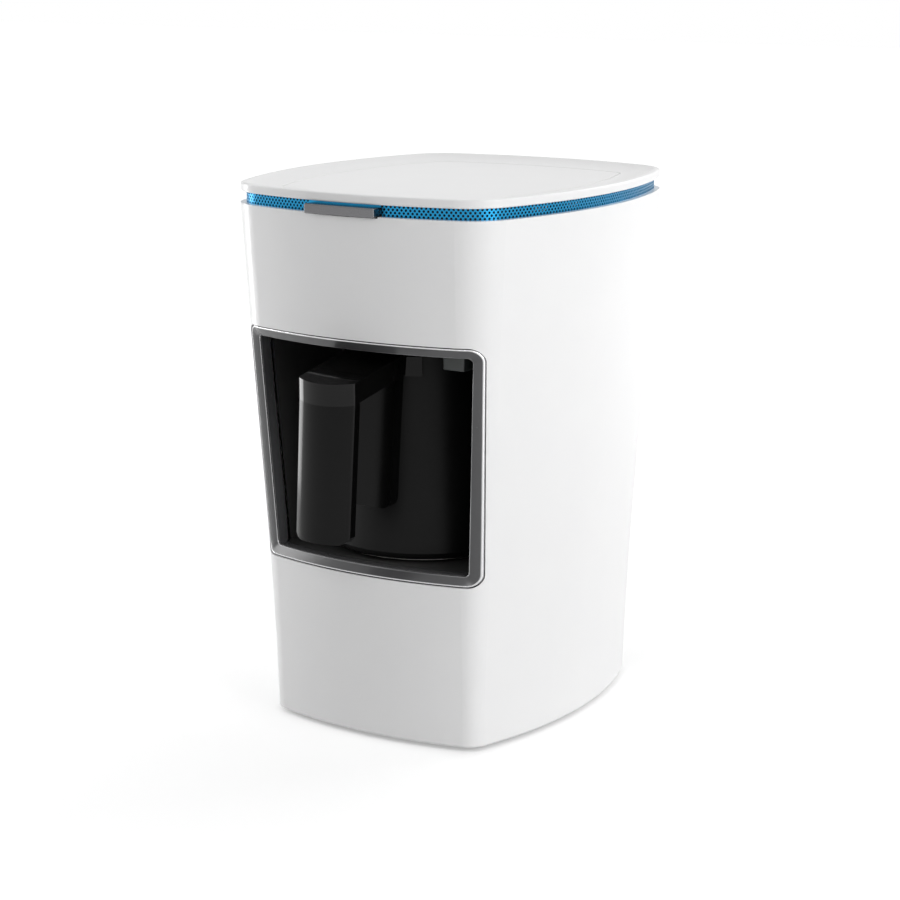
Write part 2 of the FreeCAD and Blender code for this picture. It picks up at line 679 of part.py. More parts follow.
def make_element():
    """Bent tube heater under the plate, with two tags that point down."""
    centre = Vector(0, POT_Y, PLATE_UNDER - ELEMENT_TUBE)
    tube = Part.makeTorus(ELEMENT_RADIUS, ELEMENT_TUBE, centre, UP, -180, 180, 320)
    tube = tube.rotated(centre, UP, 110)
    tags = [post(x, y, (ELEMENT_TAG_Z, centre.z), 2.0) for x, y in element_ends()]
    return tube.fuse(tags)


def element_ends():
    """Middles of the heater's two ends."""
    angles = [math.radians(angle) for angle in (70, 110)]
    return [(ELEMENT_RADIUS * math.cos(a), POT_Y + ELEMENT_RADIUS * math.sin(a)) for a in angles]


def make_heater_bracket():
    """Strap that holds the thermostat and the probe up to the plate."""
    strap = block((-42, 42), (POT_Y - 9, POT_Y + 9), (69, 70.5))
    ears = [block((x - 1.5, x + 1.5), (POT_Y - 9, POT_Y + 9), (69, PLATE_UNDER)) for x in (-40.5, 40.5)]
    hole = post(0, POT_Y, (60, 75), 3.2)
    studs = [post(x, POT_Y, (60, 75), 2.0) for x in (-36, 36)]
    return strap.fuse(ears).cut([hole] + studs)


def make_bracket_screws():
    """Two studs and nuts under the plate."""
    fixings = []
    for x in (-36, 36):
        nut = post(x, POT_Y, (66, 69), 3.6)
        fixings.append(post(x, POT_Y, (64, PLATE_UNDER), 2.0).fuse(nut))
    return Part.makeCompound(fixings)


def make_thermostat():
    """Round snap switch pressed against the plate."""
    body = post(13, POT_Y, (70.5, 79.4), 7.6).fuse(post(13, POT_Y, (79.4, PLATE_UNDER), 6.2))
    tags = [block((x - 0.4, x + 0.4), (POT_Y - 14, POT_Y - 6), (73, 77)) for x in (10.4, 15.6)]
    return body.fuse(tags)


def make_fuse():
    """Thermal cut-out in its sleeve, clipped under the plate."""
    middle_z = PLATE_UNDER - FUSE_RADIUS
    sleeve = pin(-14, middle_z, (POT_Y - 9, POT_Y + 9), FUSE_RADIUS)
    return sleeve.fuse(pin(-14, middle_z, (POT_Y - 15, POT_Y + 15), 0.6))


def make_probe():
    """Sprung probe that touches the pot's sole through the plate."""
    profile = [(0, 74), (3.0, 74), (3.0, 80), (4.0, 80), (4.0, PLATE_TOP - 0.4), (3.4, PLATE_TOP), (0, PLATE_TOP)]
    return turned(profile, 0, POT_Y).fuse(post(0, POT_Y, (66, 74), 2.0))


def make_probe_spring():
    """Coil that pushes the probe up."""
    coil = wound(PROBE_SPRING_RADIUS, PROBE_SPRING_WIRE, PROBE_SPRING_LENGTH, PROBE_SPRING_TURNS)
    return coil.translated(Vector(0, POT_Y, PROBE_SPRING_LOW))


def make_shield():
    """Shallow tray under the heater, hung on three posts."""
    tray = post(0, POT_Y, (SHIELD_Z, SHIELD_Z + 5), SHIELD_RADIUS)
    tray = tray.cut(post(0, POT_Y, (SHIELD_Z + 0.8, SHIELD_Z + 6), SHIELD_RADIUS - 0.8))
    posts = []
    for angle in (90, 210, 330):
        x = POST_RADIUS * math.cos(math.radians(angle))
        y = POT_Y + POST_RADIUS * math.sin(math.radians(angle))
        posts.append(post(x, y, (SHIELD_Z + 0.4, NICHE_FLOOR - LINER_WALL), 2.4))
    tray = tray.cut(post(0, POT_Y, (SHIELD_Z - 1, SHIELD_Z + 2), 9))
    tray = tray.cut([post(x, y, (SHIELD_Z - 1, SHIELD_Z + 2), 2.4) for x, y in element_ends()])
    return tray.fuse(posts)


def make_board():
    """Control board with its four holes."""
    board = block((-46, 46), (-2, 58), (BOARD_Z, BOARD_Z + BOARD_THICK))
    return board.cut([post(x, y, (0, 30), 1.3) for x, y in board_corners()])


BOARD_TOP = BOARD_Z + BOARD_THICK


def make_transformer():
    """Wound core on the board."""
    core = block((10, 38), (14, 44), (BOARD_TOP, BOARD_TOP + 22))
    winding = block((6, 42), (19, 39), (BOARD_TOP + 3, BOARD_TOP + 19))
    return core.fuse(winding)


def make_relay():
    """Relay that switches the heater."""
    relay = block((-36, -16), (30, 46), (BOARD_TOP, BOARD_TOP + 16))
    return relay.makeFillet(0.8, [edge for edge in relay.Edges if edge.BoundBox.ZLength > 1])


def make_capacitor():
    """Two upright round capacitors."""
    cans = []
    for x, y, radius, height in ((-4, 42, 6.5, 20), (-4, 26, 5.0, 14)):
        can = turned([(0, BOARD_TOP), (radius, BOARD_TOP), (radius, BOARD_TOP + height - 0.8),
                      (radius - 0.8, BOARD_TOP + height), (0, BOARD_TOP + height)], x, y)
        cans.append(can)
    return Part.makeCompound(cans)


def make_buzzer():
    """Round buzzer with its sound hole."""
    return ring(-26, 12, (BOARD_TOP, BOARD_TOP + 8), 6.5, 1.2)


def make_terminal_block():
    """Row of three clamps for the mains and heater leads."""
    body = block((-4, 30), (0, 11), (BOARD_TOP, BOARD_TOP + 10))
    wells = [post(x, 5.5, (BOARD_TOP + 3, BOARD_TOP + 12), 2.0) for x in (2, 13, 24)]
    return body.cut(wells)


def make_gland():
    """Bush where the cord enters at the back, flanged on both sides of the wall."""
    wall_y = -front_y(0, CORD_Z, 0)
    body = pin(0, CORD_Z, (wall_y - 8, wall_y + 2.2), GLAND_RADIUS)
    outer_flange = pin(0, CORD_Z, (wall_y + 0.2, wall_y + 2.2), 8.6)
    inner_flange = pin(0, CORD_Z, (wall_y - 5.2, wall_y - WALL - 0.4), 8.4)
    return body.fuse([outer_flange, inner_flange]).cut(pin(0, CORD_Z, (60, 110), CORD_BORE))


def make_cable_clamp():
    """Grooved block on the base and the strap over it."""
    groove = pin(0, CORD_Z, (60, 80), CORD_BORE + 0.4)
    lower = block((-13, 13), (66, 74), (BASE_HIGH, CORD_Z - 1.5)).cut(groove)
    strap = block((-13, 13), (67, 73), (CORD_Z + 3.9, CORD_Z + 5.6))
    legs = [block((x - 2.5, x + 2.5), (67, 73), (CORD_Z - 1.5, CORD_Z + 3.9)) for x in (-9.5, 9.5)]
    return lower.fuse([strap] + legs)


def make_lead(points, radius, bend):
    """Insulated wire along straight runs joined by arcs."""
    route = [Vector(*point) for point in points]
    edges = []
    start = route[0]
    for before, corner, after in zip(route, route[1:], route[2:]):
        back = unit(before - corner)
        on = unit(after - corner)
        half = back.getAngle(on) / 2.0
        reach = bend / math.tan(half)
        centre = corner + unit(back + on) * (bend / math.sin(half))
        middle = centre + unit(corner - centre) * bend
        edges.append(Part.LineSegment(start, corner + back * reach).toShape())
        edges.append(Part.Arc(corner + back * reach, middle, corner + on * reach).toShape())
        start = corner + on * reach
    edges.append(Part.LineSegment(start, route[-1]).toShape())
    profile = Part.Wire([Part.Circle(route[0], route[1] - route[0], radius).toShape()])
    return Part.Wire(edges).makePipeShell([profile], True, False)


def make_heater_lead(start_x, end):
    """Wire from a clamp on the board up to one end of the heater."""
    x, y = element_ends()[end]
    clamp_y = 5.5
    route = [(start_x, clamp_y, BOARD_TOP + 5), (start_x, clamp_y, 46), (x, y, 56), (x, y, ELEMENT_TAG_Z)]
    return make_lead(route, 1.4, 5)


def make_switch_lead():
    """Wire from the board up the back and forward over the niche to the switch."""
    up_the_back = [(30, 50, BOARD_TOP), (30, 50, 46), (50, 62, 60), (56, 60, 252)]
    over_the_niche = [(50, 40, 260), (6, -45, 259.8), (6, -62, 259.3)]
    return make_lead(up_the_back + over_the_niche, 1.2, 6)


def pot_radius(z):
    """The pot's outer radius at a height."""
    return POT_BASE_RADIUS - POT_TAPER * (z - POT_FLOOR)


def pot_form(low, high):
    """The pot's outer cone as a solid."""
    return turned([(0, low), (pot_radius(low), low), (pot_radius(high), high), (0, high)], 0, POT_Y)


def make_pot():
    """Conical pot with a rounded foot and rim."""
    low = POT_FLOOR + SOLE_THICK
    inner = [(0, low + 1.7), (42.0, low + 1.7), (46.0, low + 3.0), (pot_radius(low + 7) - POT_WALL, low + 7),
             (pot_radius(POT_RIM) - POT_WALL, POT_RIM)]
    outer = [(pot_radius(POT_RIM), POT_RIM), (pot_radius(low + 3.4), low + 3.4), (pot_radius(low) - 0.8, low + 1.2),
             (pot_radius(low) - 2.6, low + 0.1), (pot_radius(low) - 3.4, low), (0, low)]
    pot = turned(inner + outer, 0, POT_Y)
    rim = [edge for edge in pot.Edges if edge.BoundBox.ZMin > POT_RIM - 0.05]
    pot = pot.makeFillet(0.6, rim)
    return pot.cut(make_rivets())


def make_sole():
    """Steel sole under the pot."""
    low = POT_FLOOR
    high = POT_FLOOR + SOLE_THICK
    return turned([(0, low), (44.2, low), (44.8, low + 0.4), (44.8, high), (0, high)], 0, POT_Y)


# Where the grip meets the arm at the front, and a place between the handle's front and back edges
GRIP_TOP = ARM_FRONT_Z - ARM_THICK
HANDLE_EDGE_Y = -111.0


def arm_top(y):
    """Height of the arm's upper face."""
    return ARM_FRONT_Z + ARM_SLOPE * (y - ARM_FRONT_Y)


def arm_under(y):
    """Height of the arm's lower face."""
    return arm_top(y) - ARM_THICK


def handle_outline(z, half, forward, back_y):
    """Plan wire of the handle at a height: straight sides and a curved front, moved forward."""
    front_y = ARM_FRONT_Y - forward
    edge_y = front_y + ARM_FRONT_RADIUS - math.sqrt(ARM_FRONT_RADIUS ** 2 - half ** 2)
    back = back_y - forward
    corners = [Vector(-half, back, z), Vector(-half, edge_y, z), Vector(half, edge_y, z), Vector(half, back, z)]
    edges = [Part.LineSegment(corners[0], corners[1]).toShape()]
    edges.append(Part.Arc(corners[1], Vector(0, front_y, z), corners[2]).toShape())
    edges.append(Part.LineSegment(corners[2], corners[3]).toShape())
    edges.append(Part.LineSegment(corners[3], corners[0]).toShape())
    return Part.Wire(edges)


def soften_front(shape, radius):
    """Rounds the two long edges where the curved front meets the sides."""
    edges = [edge for edge in shape.Edges
             if edge.BoundBox.ZLength > 3 and edge.BoundBox.XLength < 2 and edge.CenterOfMass.y < HANDLE_EDGE_Y]
    return shape.makeFillet(radius, edges)


def make_arm():
    """Arm that rises to the pot and ends in a collar hugging it."""
    front = ARM_FRONT_Y - 3
    back = POT_Y - 30
    profile = [(front, arm_top(front)), (back, arm_top(back)), (back, arm_under(back)), (front, arm_under(front))]
    upright = Part.Face(handle_outline(150, ARM_HALF, 0, back)).extrude(Vector(0, 0, 50))
    arm = upright.common(side_prism(profile, ARM_HALF + 5))
    arm = soften_front(arm, HANDLE_EDGE)
    outer_low = pot_radius(COLLAR_LOW) + COLLAR_THICK
    outer_high = pot_radius(COLLAR_HIGH) + COLLAR_THICK
    collar = turned([(30, COLLAR_LOW), (outer_low, COLLAR_LOW), (outer_high - 0.2, COLLAR_HIGH - 0.8),
                     (outer_high - 1.0, COLLAR_HIGH), (30, COLLAR_HIGH)], 0, POT_Y, COLLAR_SWEEP)
    below_rim = block((-60, 60), (-130, 0), (150, COLLAR_HIGH + 0.6))
    body = arm.fuse(collar).cut(pot_form(150, 200)).common(below_rim)
    return body.cut(make_grip_screw())


def grip_lean(z):
    """How far the grip stands in front of its top end at a height."""
    return GRIP_FORWARD * (GRIP_TOP - z) / (GRIP_TOP - GRIP_BOTTOM)


def grip_section(z):
    """Plan wire of the grip, which narrows and leans forward towards its foot."""
    half = ARM_HALF + (GRIP_FOOT_HALF - ARM_HALF) * (GRIP_TOP - z) / (GRIP_TOP - GRIP_BOTTOM)
    return handle_outline(z, half, grip_lean(z), GRIP_BACK_Y)


def make_grip():
    """Grip under the arm's front end."""
    front = ARM_FRONT_Y - 12
    back = GRIP_BACK_Y + 12
    below = [(front, 90), (back, 90), (back, arm_under(back)), (front, arm_under(front))]
    rounded = front_prism([(-ARM_HALF, GRIP_BOTTOM), (ARM_HALF, GRIP_BOTTOM), (ARM_HALF, 195), (-ARM_HALF, 195)],
                          GRIP_CORNER, (-130, -90))
    grip = Part.makeLoft([grip_section(GRIP_BOTTOM), grip_section(GRIP_TOP + 8)], True, True)
    grip = grip.common(side_prism(below, ARM_HALF + 5))
    grip = soften_front(grip, HANDLE_EDGE).common(rounded)
    return grip.cut(make_grip_screw())


def make_grip_screw():
    """Long screw up through the grip into the arm."""
    along = unit(Vector(0, GRIP_FORWARD, GRIP_TOP - GRIP_BOTTOM))
    head_z = GRIP_BOTTOM + 0.6
    start = Vector(0, (ARM_FRONT_Y + GRIP_BACK_Y) / 2 + 0.4 - grip_lean(head_z), head_z)
    head = Part.makeCylinder(2.9, 1.4, start, along)
    return head.fuse(Part.makeCylinder(1.5, 70, start, along))


def leg_front(z):
    """Y of the bracket's front face, which follows the pot's slope."""
    return POT_Y - pot_radius(z) - LEG_STANDOFF


def make_leg():
    """Bracket down the pot's front that the arm stands on."""
    top = COLLAR_LOW - 0.05
    profile = [(leg_front(LEG_BOTTOM - 5), LEG_BOTTOM - 5), (-50, LEG_BOTTOM - 5), (-50, top), (leg_front(top), top)]
    outline = [(-LEG_HALF, LEG_BOTTOM), (LEG_HALF, LEG_BOTTOM), (LEG_HALF, 200), (-LEG_HALF, 200)]
    rounded = front_prism(outline, LEG_CORNER, (-125, -40))
    arm_space = side_prism([(-130, arm_under(-130)), (-40, arm_under(-40)), (-40, 220), (-130, 220)], 40)
    leg = side_prism(profile, LEG_HALF).common(rounded).cut([pot_form(80, 200), arm_space])
    return leg.cut(make_rivets())


def make_rivets():
    """Two rivets from inside the pot into the bracket."""
    rivets = []
    for z in (130, 162):
        inside = POT_Y - pot_radius(z) + POT_WALL
        shank = pin(0, z, (inside - 3.2, inside + 0.2), 2.0)
        rivets.append(shank.fuse(pin(0, z, (inside - 0.2, inside + 1.2), 4.0)))
    return Part.makeCompound(rivets)


save("casing", make_casing())
save("cord_plate", make_cord_plate())
save("top_deck", make_deck())
save("base_plate", make_base_plate())
save("feet", make_feet())
save("base_screws", make_screws(BASE_SCREWS, BASE_LOW, 30, 1.6, 3.2))
save("niche_liner", make_liner())
save("liner_screws", make_liner_screws())
save("niche_frame", make_frame())
save("vent_band", make_band())
save("band_backing", make_backing())
save("top_lid", make_lid())
save("lid_screws", make_screws(LID_SCREWS, CASING_TOP - DECK_THICK - 1.4, 261, 1.4, 3.0))
save("bar_guide", make_guide())
save("guide_screws", make_guide_screws())
save("start_switch", make_switch())
save("sensor_housing", make_sensor_housing())
save("sensor_pane", sensor_pane())
save("heating_plate", make_heating_plate())
save("plate_seal", make_plate_seal())
save("heater_element", make_element())
save("heater_bracket", make_heater_bracket())
save("bracket_nuts", make_bracket_screws())
save("thermostat", make_thermostat())
save("thermal_fuse", make_fuse())
save("temperature_probe", make_probe())
save("probe_spring", make_probe_spring())
save("heat_shield", make_shield())
save("control_board", make_board())
save("board_screws", make_screws(board_corners(), BOARD_TOP + 1.4, 10, 1.1, 2.4))
save("transformer", make_transformer())
save("heater_relay", make_relay())
save("capacitors", make_capacitor())
save("buzzer", make_buzzer())
save("terminal_block", make_terminal_block())
save("cord_gland", make_gland())
save("cable_clamp", make_cable_clamp())
save("lead_heater_a", make_heater_lead(24, 0))
save("lead_heater_b", make_heater_lead(2, 1))
save("lead_switch", make_switch_lead())
save("start_bar", make_bar())
save("bar_carrier", make_carrier())
save("rod_clips", make_clips())
save("return_spring_left", make_spring(-ROD_X))
save("return_spring_right", make_spring(ROD_X))
save("pot_body", make_pot())
save("pot_sole", make_sole())
save("handle_arm", make_arm())
save("handle_grip", make_grip())
save("handle_bracket", make_leg())
save("grip_screw", make_grip_screw())
save("bracket_rivets", make_rivets())
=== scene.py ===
# %% [markdown]
# # A coffee maker with a niche for its pot
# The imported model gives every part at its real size, in metres, with +Z up and the front towards -Y.
# This lesson dresses it: it gives each part its finish, and builds in mesh code the two parts whose
# looks depend on fine shape, the perforated vent band and the bezel round the niche.

# %% Load the frame
import json
import math
import bmesh
import bpy
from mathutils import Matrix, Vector
from mathutils.bvhtree import BVHTree


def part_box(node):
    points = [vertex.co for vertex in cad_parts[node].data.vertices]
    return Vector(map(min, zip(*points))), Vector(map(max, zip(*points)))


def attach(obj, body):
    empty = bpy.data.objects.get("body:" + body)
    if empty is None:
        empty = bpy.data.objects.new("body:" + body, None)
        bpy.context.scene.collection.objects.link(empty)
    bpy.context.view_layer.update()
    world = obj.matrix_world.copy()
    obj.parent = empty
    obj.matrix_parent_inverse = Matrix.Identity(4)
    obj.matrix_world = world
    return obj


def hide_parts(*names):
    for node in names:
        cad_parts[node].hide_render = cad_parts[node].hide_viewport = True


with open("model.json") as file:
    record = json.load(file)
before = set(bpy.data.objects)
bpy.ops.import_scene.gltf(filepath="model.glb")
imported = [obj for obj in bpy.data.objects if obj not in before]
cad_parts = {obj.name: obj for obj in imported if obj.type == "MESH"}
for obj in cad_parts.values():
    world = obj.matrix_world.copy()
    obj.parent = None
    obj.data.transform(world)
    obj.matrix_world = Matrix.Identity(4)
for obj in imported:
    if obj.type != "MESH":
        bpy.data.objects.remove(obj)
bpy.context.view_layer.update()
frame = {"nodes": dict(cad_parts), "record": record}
nodes = frame["nodes"]
MM = 0.001

# %% [markdown]
# The imported meshes are made of small triangles. Shading them smooth, and keeping an edge sharp only
# where two faces meet at a clear angle, makes the glossy walls read as one surface.

# %% Shade the imported parts
SHARP_ANGLE = math.radians(28)
for node in nodes.values():
    node.data.shade_smooth()
    node.data.set_sharp_from_angle(angle=SHARP_ANGLE)
print("shaded smooth:", len(nodes))

# %% [markdown]
# Every finish is a Principled shader. A helper makes the material with its own shader settings, and
# small helpers add the things that vary over a surface: a fine unevenness for moulded plastic, and
# long thin scratches for brushed metal. What is the same all over goes on the shader's own sockets.
# The record names a slot for every part, and each slot gets one finish, made once and kept by slot.

# %% Material helpers
def finish_of(name, colour, roughness, metallic=0.0, coat=0.0, coat_roughness=0.03, ior=1.5):
    """A new material and its Principled shader."""
    made = bpy.data.materials.new(name)
    made.use_nodes = True
    shader = made.node_tree.nodes["Principled BSDF"]
    shader.inputs["Base Color"].default_value = (*colour, 1.0)
    shader.inputs["Roughness"].default_value = roughness
    shader.inputs["Metallic"].default_value = metallic
    shader.inputs["Coat Weight"].default_value = coat
    shader.inputs["Coat Roughness"].default_value = coat_roughness
    shader.inputs["IOR"].default_value = ior
    return made, shader


def pattern_of(made, scale, detail, stretch=(1.0, 1.0, 1.0)):
    """A noise pattern in the model's own coordinates, drawn out along an axis if asked."""
    tree = made.node_tree
    place = tree.nodes.new("ShaderNodeTexCoord")
    mapping = tree.nodes.new("ShaderNodeMapping")
    mapping.inputs["Scale"].default_value = stretch
    noise = tree.nodes.new("ShaderNodeTexNoise")
    noise.inputs["Scale"].default_value = scale
    noise.inputs["Detail"].default_value = detail
    tree.links.new(place.outputs["Object"], mapping.inputs["Vector"])
    tree.links.new(mapping.outputs["Vector"], noise.inputs["Vector"])
    return noise


def vary_colour(made, shader, noise, low, high):
    """Lets the colour drift between two values with the pattern."""
    ramp = made.node_tree.nodes.new("ShaderNodeValToRGB")
    ramp.color_ramp.elements[0].color = (*low, 1.0)
    ramp.color_ramp.elements[1].color = (*high, 1.0)
    made.node_tree.links.new(noise.outputs["Fac"], ramp.inputs["Fac"])
    made.node_tree.links.new(ramp.outputs["Color"], shader.inputs["Base Color"])


def vary_roughness(made, shader, noise, low, high):
    """Lets the roughness drift between two values with the pattern."""
    spread = made.node_tree.nodes.new("ShaderNodeMapRange")
    spread.inputs["To Min"].default_value = low
    spread.inputs["To Max"].default_value = high
    made.node_tree.links.new(noise.outputs["Fac"], spread.inputs["Value"])
    made.node_tree.links.new(spread.outputs["Result"], shader.inputs["Roughness"])


def add_bump(made, shader, noise, height, strength=1.0):
    """Raises and sinks the surface by up to a height in metres."""
    bump = made.node_tree.nodes.new("ShaderNodeBump")
    bump.inputs["Strength"].default_value = strength
    bump.inputs["Distance"].default_value = height
    made.node_tree.links.new(noise.outputs["Fac"], bump.inputs["Height"])
    made.node_tree.links.new(bump.outputs["Normal"], shader.inputs["Normal"])


FINISHES = {}


def keep_finish(slot, made):
    """Keeps a finish for the parts of a slot."""
    FINISHES[slot] = made
    print("finish:", made.name, "for slot:", slot)

# %% [markdown]
# The casing and the lid are white gloss plastic. Injection moulding leaves a very shallow waviness
# that only shows in reflections, so the bump is about a hundredth of a millimetre over centimetres.

# %% White gloss plastic
WHITE = (0.87, 0.87, 0.87)
WHITE_LOW = (0.86, 0.86, 0.865)
WHITE_HIGH = (0.88, 0.88, 0.88)


def white_gloss():
    """Gloss plastic with a thin coat, whose colour drifts a little."""
    made, shader = finish_of("white_gloss", WHITE, roughness=0.30, coat=0.12, coat_roughness=0.06)
    wave = pattern_of(made, scale=45.0, detail=1.0)
    vary_colour(made, shader, wave, WHITE_LOW, WHITE_HIGH)
    add_bump(made, shader, wave, height=0.00002, strength=0.5)
    return made


keep_finish("casing_white", white_gloss())

# %% [markdown]
# The pot, its handle and the niche are black gloss. A single black looks like a hole in the picture,
# so its roughness drifts a little, as where hands and steam touch it. Deep black lacquer reflects
# less than clear plastic does, and its IOR is set low for that.

# %% Black gloss finishes
BLACK_IOR = 1.22
SMEAR_LOW = 0.8
SMEAR_HIGH = 1.3


def black_gloss(name, colour, roughness, ior=BLACK_IOR):
    """Black lacquer or plastic, whose roughness drifts in soft smears."""
    made, shader = finish_of(name, colour, roughness, ior=ior)
    smear = pattern_of(made, scale=30.0, detail=3.0)
    vary_roughness(made, shader, smear, roughness * SMEAR_LOW, roughness * SMEAR_HIGH)
    add_bump(made, shader, pattern_of(made, scale=60.0, detail=1.0), height=0.00001, strength=0.4)
    return made


keep_finish("liner_black", black_gloss("niche_black", (0.035, 0.035, 0.035), roughness=0.40, ior=1.3))
keep_finish("pot_black", black_gloss("pot_black", (0.003, 0.003, 0.003), roughness=0.36))
keep_finish("handle_black", black_gloss("handle_black", (0.002, 0.002, 0.002), roughness=0.14))

# %% [markdown]
# The bezel is satin dark grey plastic whose two edges are polished metal. Its outer lip, in the gap to
# the casing, is painted near black as the shade in that gap. Its mesh carries a value called polish,
# from 0 on the lip's painted shade over 0.5 on the face to 1 on the edges, and its colour and its
# metal shine follow that value.

# %% The bezel's finish
POLISH_OF_GAP_SHADE = 0.0
POLISH_OF_FACE = 0.5
POLISH_OF_EDGE = 1.0
# Painted shade: the lip in the gap between the bezel and the casing is coloured near black.
GAP_SHADE_COLOUR = (0.004, 0.004, 0.004, 1.0)
FACE_COLOUR = (0.075, 0.075, 0.078, 1.0)
POLISHED_COLOUR = (0.72, 0.72, 0.73, 1.0)


def bezel_finish():
    """Satin plastic that turns to metal where the mesh is marked as polished, and to painted gap shade on
    the lip.
    """
    made, shader = finish_of("dark_chrome", FACE_COLOUR[:3], roughness=0.25)
    tree = made.node_tree
    polish = tree.nodes.new("ShaderNodeAttribute")
    polish.attribute_name = "polish"
    ramp = tree.nodes.new("ShaderNodeValToRGB")
    middle = ramp.color_ramp.elements.new(POLISH_OF_FACE)
    # The ramp's low end is the lip's painted gap shade.
    ramp.color_ramp.elements[0].color = GAP_SHADE_COLOUR
    middle.color = FACE_COLOUR
    ramp.color_ramp.elements[2].color = POLISHED_COLOUR
    tree.links.new(polish.outputs["Fac"], ramp.inputs["Fac"])
    tree.links.new(ramp.outputs["Color"], shader.inputs["Base Color"])
    shine = tree.nodes.new("ShaderNodeMapRange")
    shine.inputs["From Min"].default_value = POLISH_OF_FACE
    shine.inputs["From Max"].default_value = POLISH_OF_EDGE
    tree.links.new(polish.outputs["Fac"], shine.inputs["Value"])
    tree.links.new(shine.outputs["Result"], shader.inputs["Metallic"])
    vary_roughness(made, shader, pattern_of(made, scale=400.0, detail=2.0), low=0.18, high=0.30)
    return made


keep_finish("frame_dark", bezel_finish())

# %% [markdown]
# Brushed steel is full metal with long thin scratches, which lie along the axis that is stretched
# least. The vent band is the same kind of surface under a blue tint.

# %% Metals
BRUSHED_LOW = 0.7
BRUSHED_HIGH = 1.4


def brushed_metal(name, colour, stretch=(1.0, 1.0, 1.0), roughness=0.3):
    """Steel whose roughness and height drift in fine strokes."""
    made, shader = finish_of(name, colour, roughness, metallic=1.0)
    strokes = pattern_of(made, scale=900.0, detail=4.0, stretch=stretch)
    vary_roughness(made, shader, strokes, roughness * BRUSHED_LOW, roughness * BRUSHED_HIGH)
    add_bump(made, shader, strokes, height=0.00001, strength=0.6)
    return made


def blue_band():
    """Blue metal whose fine strokes run round the casing."""
    made, shader = finish_of("blue_band", (0.02, 0.23, 0.44), roughness=0.28, metallic=1.0)
    strokes = pattern_of(made, scale=700.0, detail=3.0, stretch=(1.0, 1.0, 6.0))
    vary_roughness(made, shader, strokes, low=0.24, high=0.38)
    return made


STEELS = {
    "screw_steel": {"colour": (0.62, 0.62, 0.62)},
    "plate_metal": {"colour": (0.56, 0.55, 0.53), "roughness": 0.35},
    "bracket_steel": {"colour": (0.66, 0.66, 0.66), "stretch": (1.0, 8.0, 1.0)},
    "bar_steel": {"colour": (0.15, 0.15, 0.155), "stretch": (1.0, 12.0, 12.0), "roughness": 0.24},
}
for slot, looks in STEELS.items():
    keep_finish(slot, brushed_metal(slot, **looks))
keep_finish("band_blue", blue_band())

# %% [markdown]
# Soft and hidden parts get simple moulded finishes: matt plastic, rubber and ceramic, all with a fine
# grain. The sensor's window is dark red and smooth.

# %% Matt finishes
GRAIN_LOW = 0.85
GRAIN_HIGH = 1.2


def matt_plastic(name, colour, roughness=0.5):
    """Moulded plastic, rubber or ceramic with a fine grain."""
    made, shader = finish_of(name, colour, roughness)
    grain = pattern_of(made, scale=1500.0, detail=2.0)
    vary_roughness(made, shader, grain, roughness * GRAIN_LOW, min(1.0, roughness * GRAIN_HIGH))
    add_bump(made, shader, grain, height=0.00002, strength=0.5)
    return made


def tinted_pane():
    """The sensor's dark red window."""
    made, shader = finish_of("tinted_pane", (0.05, 0.01, 0.01), roughness=0.05, coat=1.0)
    vary_roughness(made, shader, pattern_of(made, scale=300.0, detail=1.0), low=0.04, high=0.08)
    return made


MATT_PARTS = {
    "inner_black": {"colour": (0.012, 0.012, 0.013)},
    "foot_rubber": {"colour": (0.03, 0.03, 0.03), "roughness": 0.8},
    "seal_rubber": {"colour": (0.04, 0.04, 0.04), "roughness": 0.7},
    "sensor_grey": {"colour": (0.035, 0.04, 0.038), "roughness": 0.4},
    "ceramic_white": {"colour": (0.76, 0.75, 0.70), "roughness": 0.6},
    "board_green": {"colour": (0.02, 0.13, 0.05), "roughness": 0.35},
    "relay_blue": {"colour": (0.02, 0.05, 0.2), "roughness": 0.35},
    "lead_red": {"colour": (0.45, 0.04, 0.03), "roughness": 0.45},
}
for slot, looks in MATT_PARTS.items():
    keep_finish(slot, matt_plastic(slot, **looks))
keep_finish("pane_glass", tinted_pane())

# %% [markdown]
# Each part now gets the finish of its slot. The handle's arm has a shinier black than the grip, so
# that it reads as a part of its own.

# %% Give every part its finish
for entry in frame["record"]["subparts"]:
    part = nodes[entry["node"]]
    part.data.materials.clear()
    part.data.materials.append(FINISHES[entry["material_slot"]])
arm_finish = black_gloss("arm_black", (0.003, 0.003, 0.003), roughness=0.06, ior=1.27)
nodes["handle_arm"].data.materials[0] = arm_finish

# %% [markdown]
# Whatever is built in code shows only once it is linked to the scene as an object. Each mesh, lamp
# and camera below needs that, so a helper does it. Another turns the camera and the lamps.

# %% Helpers for new objects
def add_object(name, data):
    """A new object in the scene, for a mesh, a lamp or a camera."""
    made = bpy.data.objects.new(name, data)
    bpy.context.scene.collection.objects.link(made)
    return made


def facing(place, aim):
    """The rotation with which a lamp or a camera at a place looks at its aim."""
    return (Vector(aim) - Vector(place)).to_track_quat("-Z", "Y").to_euler()

# %% [markdown]
# The casing's plan is four shallow arcs joined by four corner arcs. The band follows that plan a few
# millimetres inside the casing's top edge, so the same arcs are written here, each as a centre, a
# radius and two angles, and points are taken along them by length. The plan's own middle lies a
# little behind the model's, because the pot's handle stands out of the front.

# %% The casing's plan
casing_low, casing_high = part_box("casing")
PLAN_MIDDLE_Y = (casing_low[1] + casing_high[1]) / 2
HALF_WIDTH = 87.3 * MM
HALF_DEPTH = 99.1 * MM
FRONT_RADIUS = 216.0 * MM
SIDE_RADIUS = 224.0 * MM
CORNER_RADIUS = 26.0 * MM
FRONT_CENTRE = Vector((0.0, FRONT_RADIUS - HALF_DEPTH))
SIDE_CENTRE = Vector((HALF_WIDTH - SIDE_RADIUS, 0.0))


